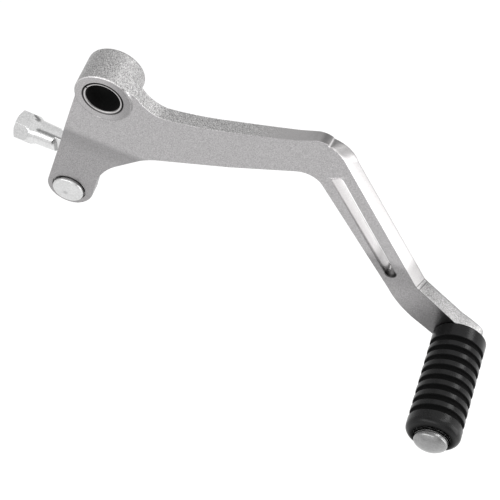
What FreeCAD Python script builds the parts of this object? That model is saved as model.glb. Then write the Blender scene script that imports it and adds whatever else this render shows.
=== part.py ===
import FreeCAD, Part
import math
import os

# Gear shift lever of a motorcycle, in millimetres.
# The pivot bore runs along Y with its outer end at the origin. The arm reaches out along +X and +Z is up.
# Places in the plane of the arm are pairs (x, z). Depths are along Y, and the rider's side faces -Y.

# Pivot hub and its bush
bush_bore_radius = 6.0
bush_wall = 1.0
bush_inset = 0.05
bush_lead_in = 0.45
bush_seam = 0.3
bush_seam_angle = 140.0
hub_wall = 3.33
hub_length = 14.2
hub_front_break = 0.35
hub_back_round = 0.9
hub_bore_lead_in = 0.55
hub_foot_round = 1.1

# Plate of the arm
face_setback = 1.3
plate_thickness = 5.4

# Ear below the hub, set back from the arm by a joggle
ear_radius = 8.4
ear_side_inset = 0.95
ear_setback = 2.2
joggle_tilt = 14.0
joggle_start = 23.8
joggle_length = 14.7
joggle_round = 14.0
stud_x = -19.6
stud_z = -58.6

# Foot peg and the end that carries it
peg_x = 132.26
peg_z = -86.86
end_radius = 7.6
peg_spigot_radius = 4.0
peg_tail_flare = 1.0
peg_shank_radius = 5.0
peg_head_radius = 6.15
peg_head_rim = 3.0
peg_dome_height = 2.4

# Ribbed rubber on the peg
rubber_radius = 10.02
rubber_length = 43.4
rib_pitch = 4.33
rib_count = 8
groove_width = 2.4
groove_floor_width = 2.0
groove_depth = 1.15
first_groove = 5.35
rubber_rear_round = 0.5
rubber_front_length = 2.6
rubber_lip_radius = 7.3
rubber_head_gap = 0.35
rubber_mouth_depth = 0.7

# Lightening slot in the diagonal stretch, narrower at its lower end
slot_top_radius = 2.2
slot_bottom_radius = 1.95
slot_runout_depth = 1.9
slot_runout_length = 2.6

# Ball stud riveted through the ear
rivet_head_radius = 6.0
rivet_head_proud = 1.5
rivet_head_round = 0.8
counterbore_gap = 0.5
counterbore_depth = 1.2
stud_shank_radius = 4.0
stud_collar_radius = 5.5
stud_collar_length = 2.4
stud_neck_radius = 2.5
ball_radius = 5.0
ball_standoff = 12.95

# Rod end on the ball. It hangs tilted, with the rod leaning away from the rider's side.
rod_angle = 180.0
rod_lean = 10.0
eye_radius = 8.5
eye_thickness = 7.0
neck_radius = 4.3
neck_root_radius = 4.7
neck_flat_depth = 2.1
neck_flat_reach = 12.3
neck_flat_runout = 1.3
hex_across_flats = 11.0
hex_roll = 3.9
hex_length = 4.6
hex_shoulder = 3.6
rod_end_reach = 29.4
hex_end_chamfer = 0.5
thread_radius = 2.5
thread_depth = 13.4
thread_lead_in = 0.6
seat_wall = 1.4
seat_lip = 0.6
lip_opening_radius = 5.2
ball_clearance = 0.04
cap_thickness = 0.6
cap_seat_depth = 0.9
cap_clearance = 0.45

# Dust boot between ear and eye, a dome about the ball centre
boot_wall = 1.1
boot_lip_gap = 0.05
boot_end_gap = 0.3
boot_radius = 10.0

# Key points of the arm's rim. Its outer side is bevelled from the first elbow on, so the rider's face and
# the back face have their own points there. The inner side is square and they share it.
hub_web_angle = 45.0
hub_web_end = (12.3, 2.3)
hub_web_middle = (15.9, -2.15)
waist = (20.8, -4.5)
first_middle = (32.5, -4.35)
split_top = (44.0, -2.95)
split_bottom = (44.0, -21.2)
root_bottom = (18.6, -26.95)
root_bottom_middle = (13.8, -28.55)
web_bottom = (10.3, -30.8)
front_rise = [(57.77, -0.71), (67.4, 1.12), (72.6, 2.85), (75.8, 3.5), (78.5, 2.36)]
back_rise = [(57.77, -0.9), (67.6, 0.75), (72.9, 2.05), (76.3, 2.2), (78.76, 1.08)]
front_shoulder = [(78.9, 1.85), (82.0, -0.45), (84.6, -4.2)]
back_shoulder = [(79.3, 0.4), (83.6, -1.9), (87.96, -8.45)]
inner_elbow = (77.05, -18.47)
inner_elbow_middle = (73.1, -14.93)
inner_elbow_start = (67.79, -14.62)
slot_top = (82.55, -14.85)

# Points of the ear's rim, counted from the stud's axis
web_foot = (17.8, 17.5)
web_foot_middle = (14.5, 13.6)
ear_side = (11.7, 8.0)
ear_shoulder = (9.65, 0.85)
ear_shoulder_middle = (7.95, -3.6)
ear_bottom_angle = -72.0
ear_low_side_angle = -135.0

# Points of the arm's lower end, counted from the peg's axis
slot_bottom = (-28.36, 28.86)
front_elbow = [(-18.53, 24.7), (-17.31, 23.66)]
back_elbow = [(-16.54, 23.91), (-15.51, 22.76)]
front_end = [(-2.66, 9.16), (1.24, 6.16), (4.64, 2.86), (6.34, 0.86)]
back_end = [(-0.96, 9.06), (2.64, 6.46), (6.14, 3.36), (7.24, 1.76)]
inner_bottom = (-15.36, 3.22)
inner_bottom_middle = (-21.96, 9.51)
inner_side_low = (-28.66, 19.96)

# Sizes that follow from those above
hub_bore_radius = bush_bore_radius + bush_wall
hub_radius = hub_bore_radius + hub_wall
plate_back = face_setback + plate_thickness
ear_face = face_setback + ear_setback
ear_back = ear_face + plate_thickness
counterbore_radius = rivet_head_radius + counterbore_gap
counterbore_floor = ear_face + counterbore_depth
ball_y = ear_back + ball_standoff
eye_bore_radius = ball_radius + seat_wall
rubber_front = face_setback - rubber_length
peg_head_seat = rubber_front + rubber_mouth_depth

# Share of a quarter round's radius by which its middle stands in from each side
arc_share = 1 - math.sqrt(0.5)

Y_AXIS = FreeCAD.Vector(0, 1, 0)
Z_AXIS = FreeCAD.Vector(0, 0, 1)


def at(place, y):
    """The point at (x, z) and depth y."""
    return FreeCAD.Vector(place[0], y, place[1])


def beside(centre, place):
    """The place that lies a given way from a centre."""
    return (centre[0] + place[0], centre[1] + place[1])


def polar(radius, angle, centre=(0.0, 0.0)):
    """The place at a radius and an angle from a centre."""
    turn = math.radians(angle)
    return (centre[0] + radius * math.cos(turn), centre[1] + radius * math.sin(turn))


def rim(start, steps, y):
    """A wire that the last step brings back to its start. One place is a straight edge, two are an arc."""
    edges = []
    here = start
    for step in steps:
        end = step[-1]
        if len(step) == 2:
            edges.append(Part.Arc(at(here, y), at(step[0], y), at(end, y)).toShape())
        else:
            edges.append(Part.LineSegment(at(here, y), at(end, y)).toShape())
        here = end
    return Part.Wire(edges)


def prism(wire, length):
    """The solid that a wire sweeps along +Y."""
    return Part.Face(wire).extrude(Y_AXIS * length)


def turned(profile, centre):
    """The solid turned about the Y axis through a centre, from (radius, y) places and arcs between them."""
    steps = [[(centre[0] + r, y) for r, y in step] for step in profile]
    edges = []
    here = steps[-1][-1]
    for step in steps:
        points = [FreeCAD.Vector(x, y, centre[1]) for x, y in [here] + step]
        if len(step) == 2:
            edges.append(Part.Arc(*points).toShape())
        else:
            edges.append(Part.LineSegment(*points).toShape())
        here = step[-1]
    face = Part.Face(Part.Wire(edges))
    return face.revolve(at(centre, 0), Y_AXIS, 360)


def cylinder(radius, start, end, centre=(0.0, 0.0)):
    """A round bar along Y."""
    return Part.makeCylinder(radius, end - start, at(centre, start), Y_AXIS)


def cone(radius_start, radius_end, start, end, centre=(0.0, 0.0)):
    """A tapered bar along Y."""
    return Part.makeCone(radius_start, radius_end, end - start, at(centre, start), Y_AXIS)


def on_sphere(radius, depth):
    """The distance from the axis at which a ball about it has come to a depth."""
    return math.sqrt(radius**2 - depth**2)


def outer_tangent(centre_a, radius_a, centre_b, radius_b, side):
    """Where the tangent on one side touches two circles. The side is -1 or 1."""
    dx, dz = centre_b[0] - centre_a[0], centre_b[1] - centre_a[1]
    heading = math.degrees(math.atan2(dz, dx))
    normal = heading + side * math.degrees(math.acos((radius_a - radius_b) / math.hypot(dx, dz)))
    return polar(radius_a, normal, centre_a), polar(radius_b, normal, centre_b)


def touch_point(place, centre, radius):
    """Where a line from a place touches a circle, on the circle's left seen from the place."""
    dx, dz = centre[0] - place[0], centre[1] - place[1]
    reach = math.hypot(dx, dz)
    heading = math.degrees(math.atan2(dz, dx))
    turn = math.degrees(math.acos(radius / reach))
    return polar(radius, heading + 180 + turn, centre)


stud = (stud_x, stud_z)
peg = (peg_x, peg_z)


# Root of the arm with the ear, cut from a joggled slab
def root():
    hub_side, ear_tangent = outer_tangent((0.0, 0.0), hub_radius - ear_side_inset, stud, ear_radius, -1)
    ear_bottom = polar(ear_radius, ear_bottom_angle, stud)
    ear_low_side = polar(ear_radius, ear_low_side_angle, stud)
    plan = rim(
        hub_side,
        [
            [polar(hub_radius, hub_web_angle)],
            [hub_web_end],
            [hub_web_middle, waist],
            [first_middle, split_top],
            [split_bottom],
            [root_bottom],
            [root_bottom_middle, web_bottom],
            [beside(stud, web_foot)],
            [beside(stud, web_foot_middle), beside(stud, ear_side)],
            [beside(stud, ear_shoulder)],
            [beside(stud, ear_shoulder_middle), ear_bottom],
            [ear_low_side, ear_tangent],
            [hub_side],
        ],
        0,
    )
    blank = prism(plan, hub_length)
    plate = blank.common(joggled_slab())
    front_foot = turned(
        [
            [(hub_radius, face_setback + hub_foot_round)],
            [(hub_radius + hub_foot_round, face_setback + hub_foot_round)],
            [(hub_radius + hub_foot_round, face_setback)],
            [
                (hub_radius + hub_foot_round * arc_share, face_setback - hub_foot_round * arc_share),
                (hub_radius, face_setback - hub_foot_round),
            ],
        ],
        (0.0, 0.0),
    )
    return plate.fuse(front_foot.common(blank))


def joggled_slab():
    """The plate's two faces with the step back to the ear, as long as the arm's root needs."""
    half = 2 * joggle_start + math.hypot(*stud)
    step_end = joggle_start + joggle_length
    profile = [
        (-half, face_setback),
        (joggle_start, face_setback),
        (step_end, ear_face),
        (half, ear_face),
        (half, ear_back),
        (step_end, ear_back),
        (joggle_start, plate_back),
        (-half, plate_back),
    ]
    points = [FreeCAD.Vector(-half, y, -d) for d, y in profile]
    slab = Part.Face(Part.makePolygon(points + points[:1])).extrude(FreeCAD.Vector(2 * half, 0, 0))
    creases = []
    for edge in slab.Edges:
        middle = edge.CenterOfMass
        if abs(middle.x) < 1 and (abs(middle.z + joggle_start) < 0.01 or abs(middle.z + step_end) < 0.01):
            creases.append(edge)
    slab = slab.makeFillet(joggle_round, creases)
    slab.rotate(FreeCAD.Vector(0, 0, 0), Y_AXIS, joggle_tilt)
    return slab


# Arm from its first stretch to the rounded end, ruled between the rider's face and the back face
def blade():
    end_right = (peg_x + end_radius, peg_z)
    end_low = (peg_x, peg_z - end_radius)
    bottom = beside(peg, inner_bottom)
    end_touch = touch_point(bottom, peg, end_radius)

    def section(rise, shoulder, elbow, end, y):
        elbow = [beside(peg, place) for place in elbow]
        end = [beside(peg, place) for place in end]
        return rim(
            split_top,
            [
                [rise[0], rise[1]],
                [rise[2]],
                [rise[3], rise[4]],
                [shoulder[0]],
                [shoulder[1], shoulder[2]],
                [elbow[0]],
                [elbow[1]],
                [end[0]],
                [end[1], end[2]],
                [end[3], end_right],
                [end_low, end_touch],
                [bottom],
                [beside(peg, inner_bottom_middle), beside(peg, inner_side_low)],
                [inner_elbow],
                [inner_elbow_middle, inner_elbow_start],
                [split_bottom],
                [split_top],
            ],
            y,
        )

    front = section(front_rise, front_shoulder, front_elbow, front_end, face_setback)
    back = section(back_rise, back_shoulder, back_elbow, back_end, plate_back)
    sides = [Part.makeRuledSurface(a, b) for a, b in zip(front.Edges, back.Edges)]
    shell = Part.makeShell([Part.Face(front), Part.Face(back)] + [f for s in sides for f in s.Faces])
    shell.sewShape()
    return Part.Solid(shell)


# Slot with a sloping run-out at its upper end
def slot():
    bottom = beside(peg, slot_bottom)
    left = outer_tangent(slot_top, slot_top_radius, bottom, slot_bottom_radius, -1)
    right = outer_tangent(slot_top, slot_top_radius, bottom, slot_bottom_radius, 1)
    along = (at(bottom, 0) - at(slot_top, 0)).normalize()
    top = at(slot_top, 0) - along * slot_top_radius
    low = at(bottom, 0) + along * slot_bottom_radius
    plan = rim(
        left[0],
        [[left[1]], [(low.x, low.z), right[1]], [right[0]], [(top.x, top.z), left[0]]],
        face_setback,
    )
    across = along.cross(Y_AXIS)
    foot = along * slot_runout_length
    ramp = [
        top + Y_AXIS * face_setback,
        top + Y_AXIS * plate_back,
        top + foot + Y_AXIS * plate_back,
        top + foot + Y_AXIS * (face_setback + slot_runout_depth),
    ]
    ramp = [point - across * slot_top_radius for point in ramp]
    floor = Part.Face(Part.makePolygon(ramp + ramp[:1])).extrude(across * 2 * slot_top_radius)
    return prism(plan, plate_thickness).cut(floor)


def lever_arm():
    hub = turned(
        [
            [(0, 0)],
            [(hub_radius - hub_front_break, 0)],
            [(hub_radius, hub_front_break)],
            [(hub_radius, hub_length - hub_back_round)],
            [
                (hub_radius - hub_back_round * arc_share, hub_length - hub_back_round * arc_share),
                (hub_radius - hub_back_round, hub_length),
            ],
            [(0, hub_length)],
        ],
        (0.0, 0.0),
    )
    solid = root().fuse([blade(), hub]).removeSplitter()
    wide = hub_bore_radius + hub_bore_lead_in
    cuts = [
        cylinder(hub_bore_radius, -1, hub_length + 1),
        cone(wide, hub_bore_radius, 0, hub_bore_lead_in),
        cone(hub_bore_radius, wide, hub_length - hub_bore_lead_in, hub_length),
        cylinder(counterbore_radius, ear_face - 1, counterbore_floor, stud),
        cylinder(stud_shank_radius, counterbore_floor - 1, ear_back + 1, stud),
        cylinder(peg_spigot_radius, face_setback - 1, plate_back, peg),
        cone(peg_spigot_radius, peg_spigot_radius + peg_tail_flare, plate_back - peg_tail_flare, plate_back, peg),
        slot(),
    ]
    for cut in cuts:
        solid = solid.cut(cut)
    return solid


# Split bush, wrapped from strip, with a lead-in at both ends
def pivot_bush():
    first, last = bush_inset, hub_length - bush_inset
    sleeve = turned(
        [
            [(bush_bore_radius, first + bush_lead_in)],
            [(bush_bore_radius + bush_lead_in, first)],
            [(hub_bore_radius, first)],
            [(hub_bore_radius, last)],
            [(bush_bore_radius + bush_lead_in, last)],
            [(bush_bore_radius, last - bush_lead_in)],
        ],
        (0.0, 0.0),
    )
    seam = Part.makeBox(2 * hub_bore_radius, hub_length, bush_seam)
    seam.translate(FreeCAD.Vector(0, 0, -bush_seam / 2))
    seam.rotate(FreeCAD.Vector(0, 0, 0), Y_AXIS, -bush_seam_angle)
    return sleeve.cut(seam)


# Ball stud, shouldered on the back of the ear and riveted over in its counterbore
def ball_stud():
    head_face = ear_face - rivet_head_proud
    collar_end = ear_back + stud_collar_length
    neck_meets_ball = ball_y - on_sphere(ball_radius, stud_neck_radius)
    return turned(
        [
            [(0, head_face)],
            [(rivet_head_radius - rivet_head_round, head_face)],
            [
                (rivet_head_radius - rivet_head_round * arc_share, head_face + rivet_head_round * arc_share),
                (rivet_head_radius, head_face + rivet_head_round),
            ],
            [(rivet_head_radius, counterbore_floor)],
            [(stud_shank_radius, counterbore_floor)],
            [(stud_shank_radius, ear_back)],
            [(stud_collar_radius, ear_back)],
            [(stud_collar_radius, collar_end)],
            [(stud_neck_radius, collar_end)],
            [(stud_neck_radius, neck_meets_ball)],
            [(ball_radius, ball_y), (0, ball_y + ball_radius)],
        ],
        stud,
    )


def on_ball(solid):
    """Turns and leans a solid made about the ball centre, with its rod along +X, to its place on the ball."""
    solid.rotate(FreeCAD.Vector(0, 0, 0), Z_AXIS, rod_lean)
    solid.rotate(FreeCAD.Vector(0, 0, 0), Y_AXIS, -rod_angle)
    solid.translate(at(stud, ball_y))
    return solid


# Rod end, made along +X about the ball centre
def rod_end_body():
    hex_radius = hex_across_flats / math.sqrt(3)
    hex_start = rod_end_reach - hex_length
    outline = [
        (0, 0),
        (0, neck_radius),
        (eye_radius, neck_radius),
        (hex_start - hex_shoulder, neck_root_radius),
        (hex_start, hex_radius),
        (rod_end_reach - hex_end_chamfer, hex_radius),
        (rod_end_reach, hex_radius - hex_end_chamfer * math.sqrt(3)),
        (rod_end_reach, 0),
    ]
    outline = [FreeCAD.Vector(x, r, 0) for x, r in outline]
    shank = Part.Face(Part.makePolygon(outline + outline[:1]))
    shank = shank.revolve(FreeCAD.Vector(0, 0, 0), FreeCAD.Vector(1, 0, 0), 360)
    corners = []
    for turn in range(7):
        angle = math.radians(60 * turn + hex_roll)
        corners.append(FreeCAD.Vector(0, -hex_radius * math.cos(angle), hex_radius * math.sin(angle)))
    hexagon = Part.Face(Part.makePolygon(corners)).extrude(FreeCAD.Vector(rod_end_reach, 0, 0))
    solid = shank.common(hexagon)
    for side in (-1, 1):
        floor = side * (neck_radius - neck_flat_depth)
        flat = [
            (0, floor),
            (neck_flat_reach, floor),
            (neck_flat_reach + neck_flat_runout, side * neck_root_radius),
            (0, side * neck_root_radius),
        ]
        flat = [FreeCAD.Vector(x, y, -neck_root_radius) for x, y in flat]
        flat = Part.Face(Part.makePolygon(flat + flat[:1])).extrude(FreeCAD.Vector(0, 0, 2 * neck_root_radius))
        solid = solid.cut(flat)
    half = eye_thickness / 2
    solid = solid.fuse(cylinder(eye_radius, -half, half))
    solid = solid.cut(cylinder(eye_bore_radius, -half + seat_lip, half + 1))
    solid = solid.cut(cylinder(lip_opening_radius, -half - 1, half))
    mouth = thread_radius + thread_lead_in
    along = FreeCAD.Vector(-1, 0, 0)
    outer = FreeCAD.Vector(rod_end_reach, 0, 0)
    solid = solid.cut(Part.makeCylinder(thread_radius, thread_depth, outer, along))
    solid = solid.cut(Part.makeCone(mouth, thread_radius, thread_lead_in, outer, along))
    return on_ball(solid.removeSplitter())


# Plastic liner that the ball turns in
def ball_seat():
    half = eye_thickness / 2
    block = cylinder(eye_bore_radius, -half + seat_lip, half - cap_seat_depth)
    return on_ball(block.cut(Part.makeSphere(ball_radius + ball_clearance)))


# Domed disc pressed into the back of the eye
def socket_cap():
    inside = ball_radius + cap_clearance
    outside = inside + cap_thickness
    first = eye_thickness / 2 - cap_seat_depth
    last = first + cap_thickness
    inner_middle = (first + inside) / 2
    outer_middle = (last + outside) / 2
    profile = [
        [(eye_bore_radius, first)],
        [(eye_bore_radius, last)],
        [(on_sphere(outside, last), last)],
        [(on_sphere(outside, outer_middle), outer_middle), (0, outside)],
        [(0, inside)],
        [(on_sphere(inside, inner_middle), inner_middle), (on_sphere(inside, first), first)],
    ]
    return on_ball(turned(profile, (0.0, 0.0)))


# Rubber boot between the stud's collar and the eye
def dust_boot():
    centre = at(stud, ball_y)
    start = ear_back + boot_end_gap
    inner = stud_collar_radius + boot_lip_gap
    sleeve = cylinder(inner + boot_wall, start, ball_y, stud)
    dome = sleeve.fuse(Part.makeSphere(boot_radius, centre))
    dome = dome.cut(Part.makeSphere(boot_radius - boot_wall, centre))
    dome = dome.cut(cylinder(inner, start - 1, ball_y, stud))
    behind = cylinder(2 * boot_radius, -eye_thickness / 2 - boot_lip_gap, 2 * boot_radius)
    return dome.cut(on_ball(behind)).removeSplitter()


# Peg with a domed head, shouldered on the arm and riveted over behind it
def peg_pin():
    rim_end = peg_head_seat - peg_head_rim
    dome_radius = (peg_head_radius**2 + peg_dome_height**2) / (2 * peg_dome_height)
    middle = dome_radius - peg_dome_height / 2
    return turned(
        [
            [(0, plate_back)],
            [(peg_spigot_radius + peg_tail_flare, plate_back)],
            [(peg_spigot_radius, plate_back - peg_tail_flare)],
            [(peg_spigot_radius, face_setback)],
            [(peg_shank_radius, face_setback)],
            [(peg_shank_radius, peg_head_seat)],
            [(peg_head_radius, peg_head_seat)],
            [(peg_head_radius, rim_end)],
            [
                (on_sphere(dome_radius, middle), rim_end - peg_dome_height / 2),
                (0, rim_end - peg_dome_height),
            ],
        ],
        peg,
    )


# Rubber sleeve, ribbed along its length, with a mouth round the head of the peg
def peg_rubber():
    slope = (groove_width - groove_floor_width) / 2
    floor = rubber_radius - groove_depth
    steps = [
        [(peg_shank_radius, face_setback)],
        [(rubber_radius - rubber_rear_round, face_setback)],
        [(rubber_radius, face_setback - rubber_rear_round)],
    ]
    for index in range(rib_count):
        start = face_setback - first_groove - index * rib_pitch
        steps += [
            [(rubber_radius, start)],
            [(floor, start - slope)],
            [(floor, start - slope - groove_floor_width)],
            [(rubber_radius, start - groove_width)],
        ]
    turn = math.sqrt(0.5)
    round_start = rubber_front + rubber_front_length
    steps += [
        [(rubber_radius, round_start)],
        [
            (
                rubber_lip_radius + (rubber_radius - rubber_lip_radius) * turn,
                round_start - rubber_front_length * turn,
            ),
            (rubber_lip_radius, rubber_front),
        ],
        [(peg_head_radius + rubber_head_gap, peg_head_seat)],
        [(peg_shank_radius, peg_head_seat)],
    ]
    return turned(steps, peg)


os.makedirs("parts", exist_ok=True)
for build in (
    lever_arm,
    pivot_bush,
    ball_stud,
    rod_end_body,
    ball_seat,
    socket_cap,
    dust_boot,
    peg_pin,
    peg_rubber,
):
    shape = build()
    solids = shape.Solids
    if len(solids) == 1:
        shape = solids[0]
    box = shape.BoundBox
    print(build.__name__, len(solids), shape.isValid(), round(shape.Volume, 1), box)
    shape.exportStep("parts/" + build.__name__ + ".step")
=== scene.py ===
# %% [markdown]
# # Gear shift lever: dressing the construction model
#
# The construction model gives every piece its true size and place. This file gives each one its finish, and
# softens the edges that a drawing leaves razor sharp. All lengths are in metres, and every piece keeps the
# place that the construction gives it.

# %% Load the frame
import math

import bpy
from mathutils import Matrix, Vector


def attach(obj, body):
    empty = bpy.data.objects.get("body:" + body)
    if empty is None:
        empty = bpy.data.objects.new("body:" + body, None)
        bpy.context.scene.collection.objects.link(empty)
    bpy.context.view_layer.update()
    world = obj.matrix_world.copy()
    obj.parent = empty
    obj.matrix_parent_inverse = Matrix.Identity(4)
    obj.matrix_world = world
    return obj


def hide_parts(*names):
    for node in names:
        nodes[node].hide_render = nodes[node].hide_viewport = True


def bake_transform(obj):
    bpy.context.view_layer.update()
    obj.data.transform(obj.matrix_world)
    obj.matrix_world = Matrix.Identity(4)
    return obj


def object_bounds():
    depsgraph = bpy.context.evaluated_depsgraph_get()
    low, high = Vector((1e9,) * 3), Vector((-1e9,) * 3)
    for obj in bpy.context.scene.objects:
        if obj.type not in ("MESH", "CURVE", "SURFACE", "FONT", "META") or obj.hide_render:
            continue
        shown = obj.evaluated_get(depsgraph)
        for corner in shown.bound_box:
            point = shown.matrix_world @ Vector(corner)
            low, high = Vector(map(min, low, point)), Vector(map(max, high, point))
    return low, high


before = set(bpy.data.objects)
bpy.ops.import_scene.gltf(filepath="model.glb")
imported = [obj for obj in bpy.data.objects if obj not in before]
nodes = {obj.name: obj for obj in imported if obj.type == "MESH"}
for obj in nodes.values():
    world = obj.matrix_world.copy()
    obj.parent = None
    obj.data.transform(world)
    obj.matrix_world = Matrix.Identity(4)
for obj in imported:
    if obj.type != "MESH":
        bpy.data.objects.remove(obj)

cad_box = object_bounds()
scene = bpy.context.scene
MM = 0.001
print("nodes:", ", ".join(sorted(nodes)))

# %% [markdown]
# ## Camera
#
# The lever was photographed from above its outer side, turned a little to the right. A long lens some half
# a metre away keeps the perspective gentle. The camera is placed by two angles, a target and a distance, as
# a photographer would describe it, so one number can be changed at a time.

# %% Set up the camera
CAMERA_TURN = 17.758
CAMERA_HEIGHT = 53.312
CAMERA_DISTANCE = 0.50361
CAMERA_TARGET = Vector((0.059569, -0.023553, -0.03026))
CAMERA_LENS = 108.01

turn = math.radians(CAMERA_TURN)
height = math.radians(CAMERA_HEIGHT)
towards_camera = Vector((
    math.sin(turn) * math.cos(height), -math.cos(turn) * math.cos(height), math.sin(height)
))
bpy.ops.object.camera_add(
    location=CAMERA_TARGET + towards_camera * CAMERA_DISTANCE,
    rotation=(math.radians(90.0 - CAMERA_HEIGHT), 0.0, turn),
)
camera = bpy.context.object
camera.data.lens = CAMERA_LENS
camera.data.sensor_width = 36.0
camera.data.clip_start = 0.01
scene.camera = camera
print("camera at", [round(c, 4) for c in camera.location])

# %% [markdown]
# ## Studio
#
# Bare metal has hardly any colour of its own. It shows the room, so the room is what gives it its form. A
# satin lever in a white tent looks flat, and a photographer adds darker sides to bring the edges out. Here
# the sky is white, a little greyer low at the back left, where the left of the hub and the top of the arm
# look. A small dark flag low at the back right draws the dark patch on the first elbow, and one low at the
# front right shades the right of the peg's dome. A tripod stands in the way of the white high at the left,
# and draws the dark band along the rod end. Each is given by a direction and two angles, between which the
# sky goes from light to dark.

# %% Helpers for nodes
def node(tree, kind, **settings):
    """A node with some of its settings made."""
    made = tree.nodes.new(kind)
    for name, value in settings.items():
        setattr(made, name, value)
    return made


def join(tree, source, target):
    """A link from an output to an input, each given as (node, socket)."""
    tree.links.new(source[0].outputs[source[1]], target[0].inputs[target[1]])


# %% Directions by turn and rise
def towards(turn, rise):
    """The direction at an angle round from +X towards +Y, and an angle up from the floor, in degrees."""
    flat = math.cos(math.radians(rise))
    return Vector((math.cos(math.radians(turn)) * flat, math.sin(math.radians(turn)) * flat,
                   math.sin(math.radians(rise))))


# %% Start the sky
world = bpy.data.worlds.new("studio_sky")
scene.world = world
world.use_nodes = True
sky = world.node_tree
background = sky.nodes["Background"]
background.inputs["Color"].default_value = (1.0, 1.0, 1.0, 1.0)
sky_direction = node(sky, "ShaderNodeTexCoord")


def dimmed(centre, inner, outer, level):
    """A sky node that is 1 outside one angle from a direction and a given level inside a smaller angle."""
    facing = node(sky, "ShaderNodeVectorMath", operation="DOT_PRODUCT")
    facing.inputs[1].default_value = centre
    shade = node(sky, "ShaderNodeMapRange", interpolation_type="SMOOTHSTEP")
    shade.inputs["From Min"].default_value = math.cos(math.radians(outer))
    shade.inputs["From Max"].default_value = math.cos(math.radians(inner))
    shade.inputs["To Min"].default_value = 1.0
    shade.inputs["To Max"].default_value = level
    join(sky, (sky_direction, "Generated"), (facing, 0))
    join(sky, (facing, "Value"), (shade, "Value"))
    return shade


print("sky", world.name, "starts white all round")

# %% Hang the dark places in it
grey_back = dimmed(towards(150.0, 5.0), 20.0, 62.0, 0.7)
dark_flag = dimmed(towards(66.0, 16.0), 12.0, 34.0, 0.32)
tripod = dimmed(towards(-152.0, 58.0), 6.0, 20.0, 0.35)
front_flag = dimmed(towards(-40.0, 8.0), 8.0, 30.0, 0.4)
sky_level = grey_back, "Result"
for shade in (dark_flag, tripod, front_flag):
    both = node(sky, "ShaderNodeMath", operation="MULTIPLY")
    join(sky, sky_level, (both, 0))
    join(sky, (shade, "Result"), (both, 1))
    sky_level = both, "Value"
join(sky, sky_level, (background, "Strength"))
scene.view_settings.view_transform = "Standard"
print("sky with a grey back and three dark places")

# %% [markdown]
# ## Lamps
#
# A sky alone leaves satin metal flat. Four soft boxes add what the photograph shows on top of it: one level
# with the lever at its toe end for the milled flank of the diagonal stretch, a small one high at the back
# right for the line of light along the hub, a long low one in front for the flat faces, and one high at the
# right for the shoulder behind the hub. A soft box is a lamp with a size, which metal shows as a patch with
# a soft border. Each is placed by its direction from the lever, so it can be walked round it without being
# aimed again.

# %% Place the lamps
def lamp(name, turn, rise, distance, width, depth, power):
    """A soft box seen from the lever in a direction given by two angles in degrees, turned to face it."""
    away = towards(turn, rise)
    bpy.ops.object.light_add(type="AREA", location=CAMERA_TARGET + away * distance)
    made = bpy.context.object
    made.name = name
    made.data.shape = "RECTANGLE"
    made.data.size = width
    made.data.size_y = depth
    made.data.energy = power
    made.rotation_euler = (-away).to_track_quat("-Z", "Y").to_euler()
    print("lamp", name, "turn", turn, "rise", rise, "power", power)


lamp("flank_lamp", 0.0, 0.0, 0.8, 0.7, 0.6, 2.9)
lamp("barrel_lamp", 42.0, 32.0, 1.2, 0.3, 0.36, 1.95)
lamp("front_lamp", -112.0, 27.0, 1.2, 1.4, 0.4, 4.4)
lamp("shoulder_lamp", 22.0, 54.0, 0.8, 0.3, 0.3, 0.9)

# %% [markdown]
# ## Floor
#
# The photograph stands on plain white. The floor here is pale, and far enough below the lever for the soft
# light to close under it, so no hard shadow falls into the picture. A pale floor renders a light grey, and
# more light on it would also be more light on the lever. So it glows a little for the camera alone, and for
# the rays that are mirrored in metal, which then show the same white.

# %% Lay the floor
FLOOR_DROP = 0.3
FLOOR_SIZE = 12.0
FLOOR_TONE = 0.8
FLOOR_GLOW = 0.17

bpy.ops.mesh.primitive_plane_add(size=FLOOR_SIZE, location=(0.0, 0.0, cad_box[0][2] - FLOOR_DROP))
floor = bpy.context.object
floor.name = "floor"
floor_paint = bpy.data.materials.new("floor_white")
floor_paint.use_nodes = True
floor_tree = floor_paint.node_tree
floor_shader = floor_tree.nodes["Principled BSDF"]
floor_shader.inputs["Base Color"].default_value = (FLOOR_TONE, FLOOR_TONE, FLOOR_TONE, 1.0)
floor_shader.inputs["Roughness"].default_value = 0.9
floor_shader.inputs["Specular IOR Level"].default_value = 0.0
floor_shader.inputs["Emission Color"].default_value = (1.0, 1.0, 1.0, 1.0)
rays = node(floor_tree, "ShaderNodeLightPath")
seen = rays, "Is Camera Ray"
for ray in ("Is Glossy Ray", "Is Transmission Ray"):
    either = node(floor_tree, "ShaderNodeMath", operation="MAXIMUM")
    join(floor_tree, seen, (either, 0))
    join(floor_tree, (rays, ray), (either, 1))
    seen = either, "Value"
glow = node(floor_tree, "ShaderNodeMath", operation="MULTIPLY")
glow.inputs[1].default_value = FLOOR_GLOW
join(floor_tree, seen, (glow, 0))
join(floor_tree, (glow, "Value"), (floor_shader, "Emission Strength"))
floor.data.materials.append(floor_paint)
print("floor", round(FLOOR_DROP * 1000), "mm below the lever")


# %% [markdown]
# ## Effects that several finishes share
#
# Most of the lever is bare or plated metal, and each finish is a mixture of the same few things: a fine
# grain left by blasting, turning marks left by a lathe, and faint smudges. Each is built once as a node
# group, with its own inputs, and every material sets its own values. All of them read object coordinates,
# so that the pattern has one true scale on the whole lever.

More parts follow.
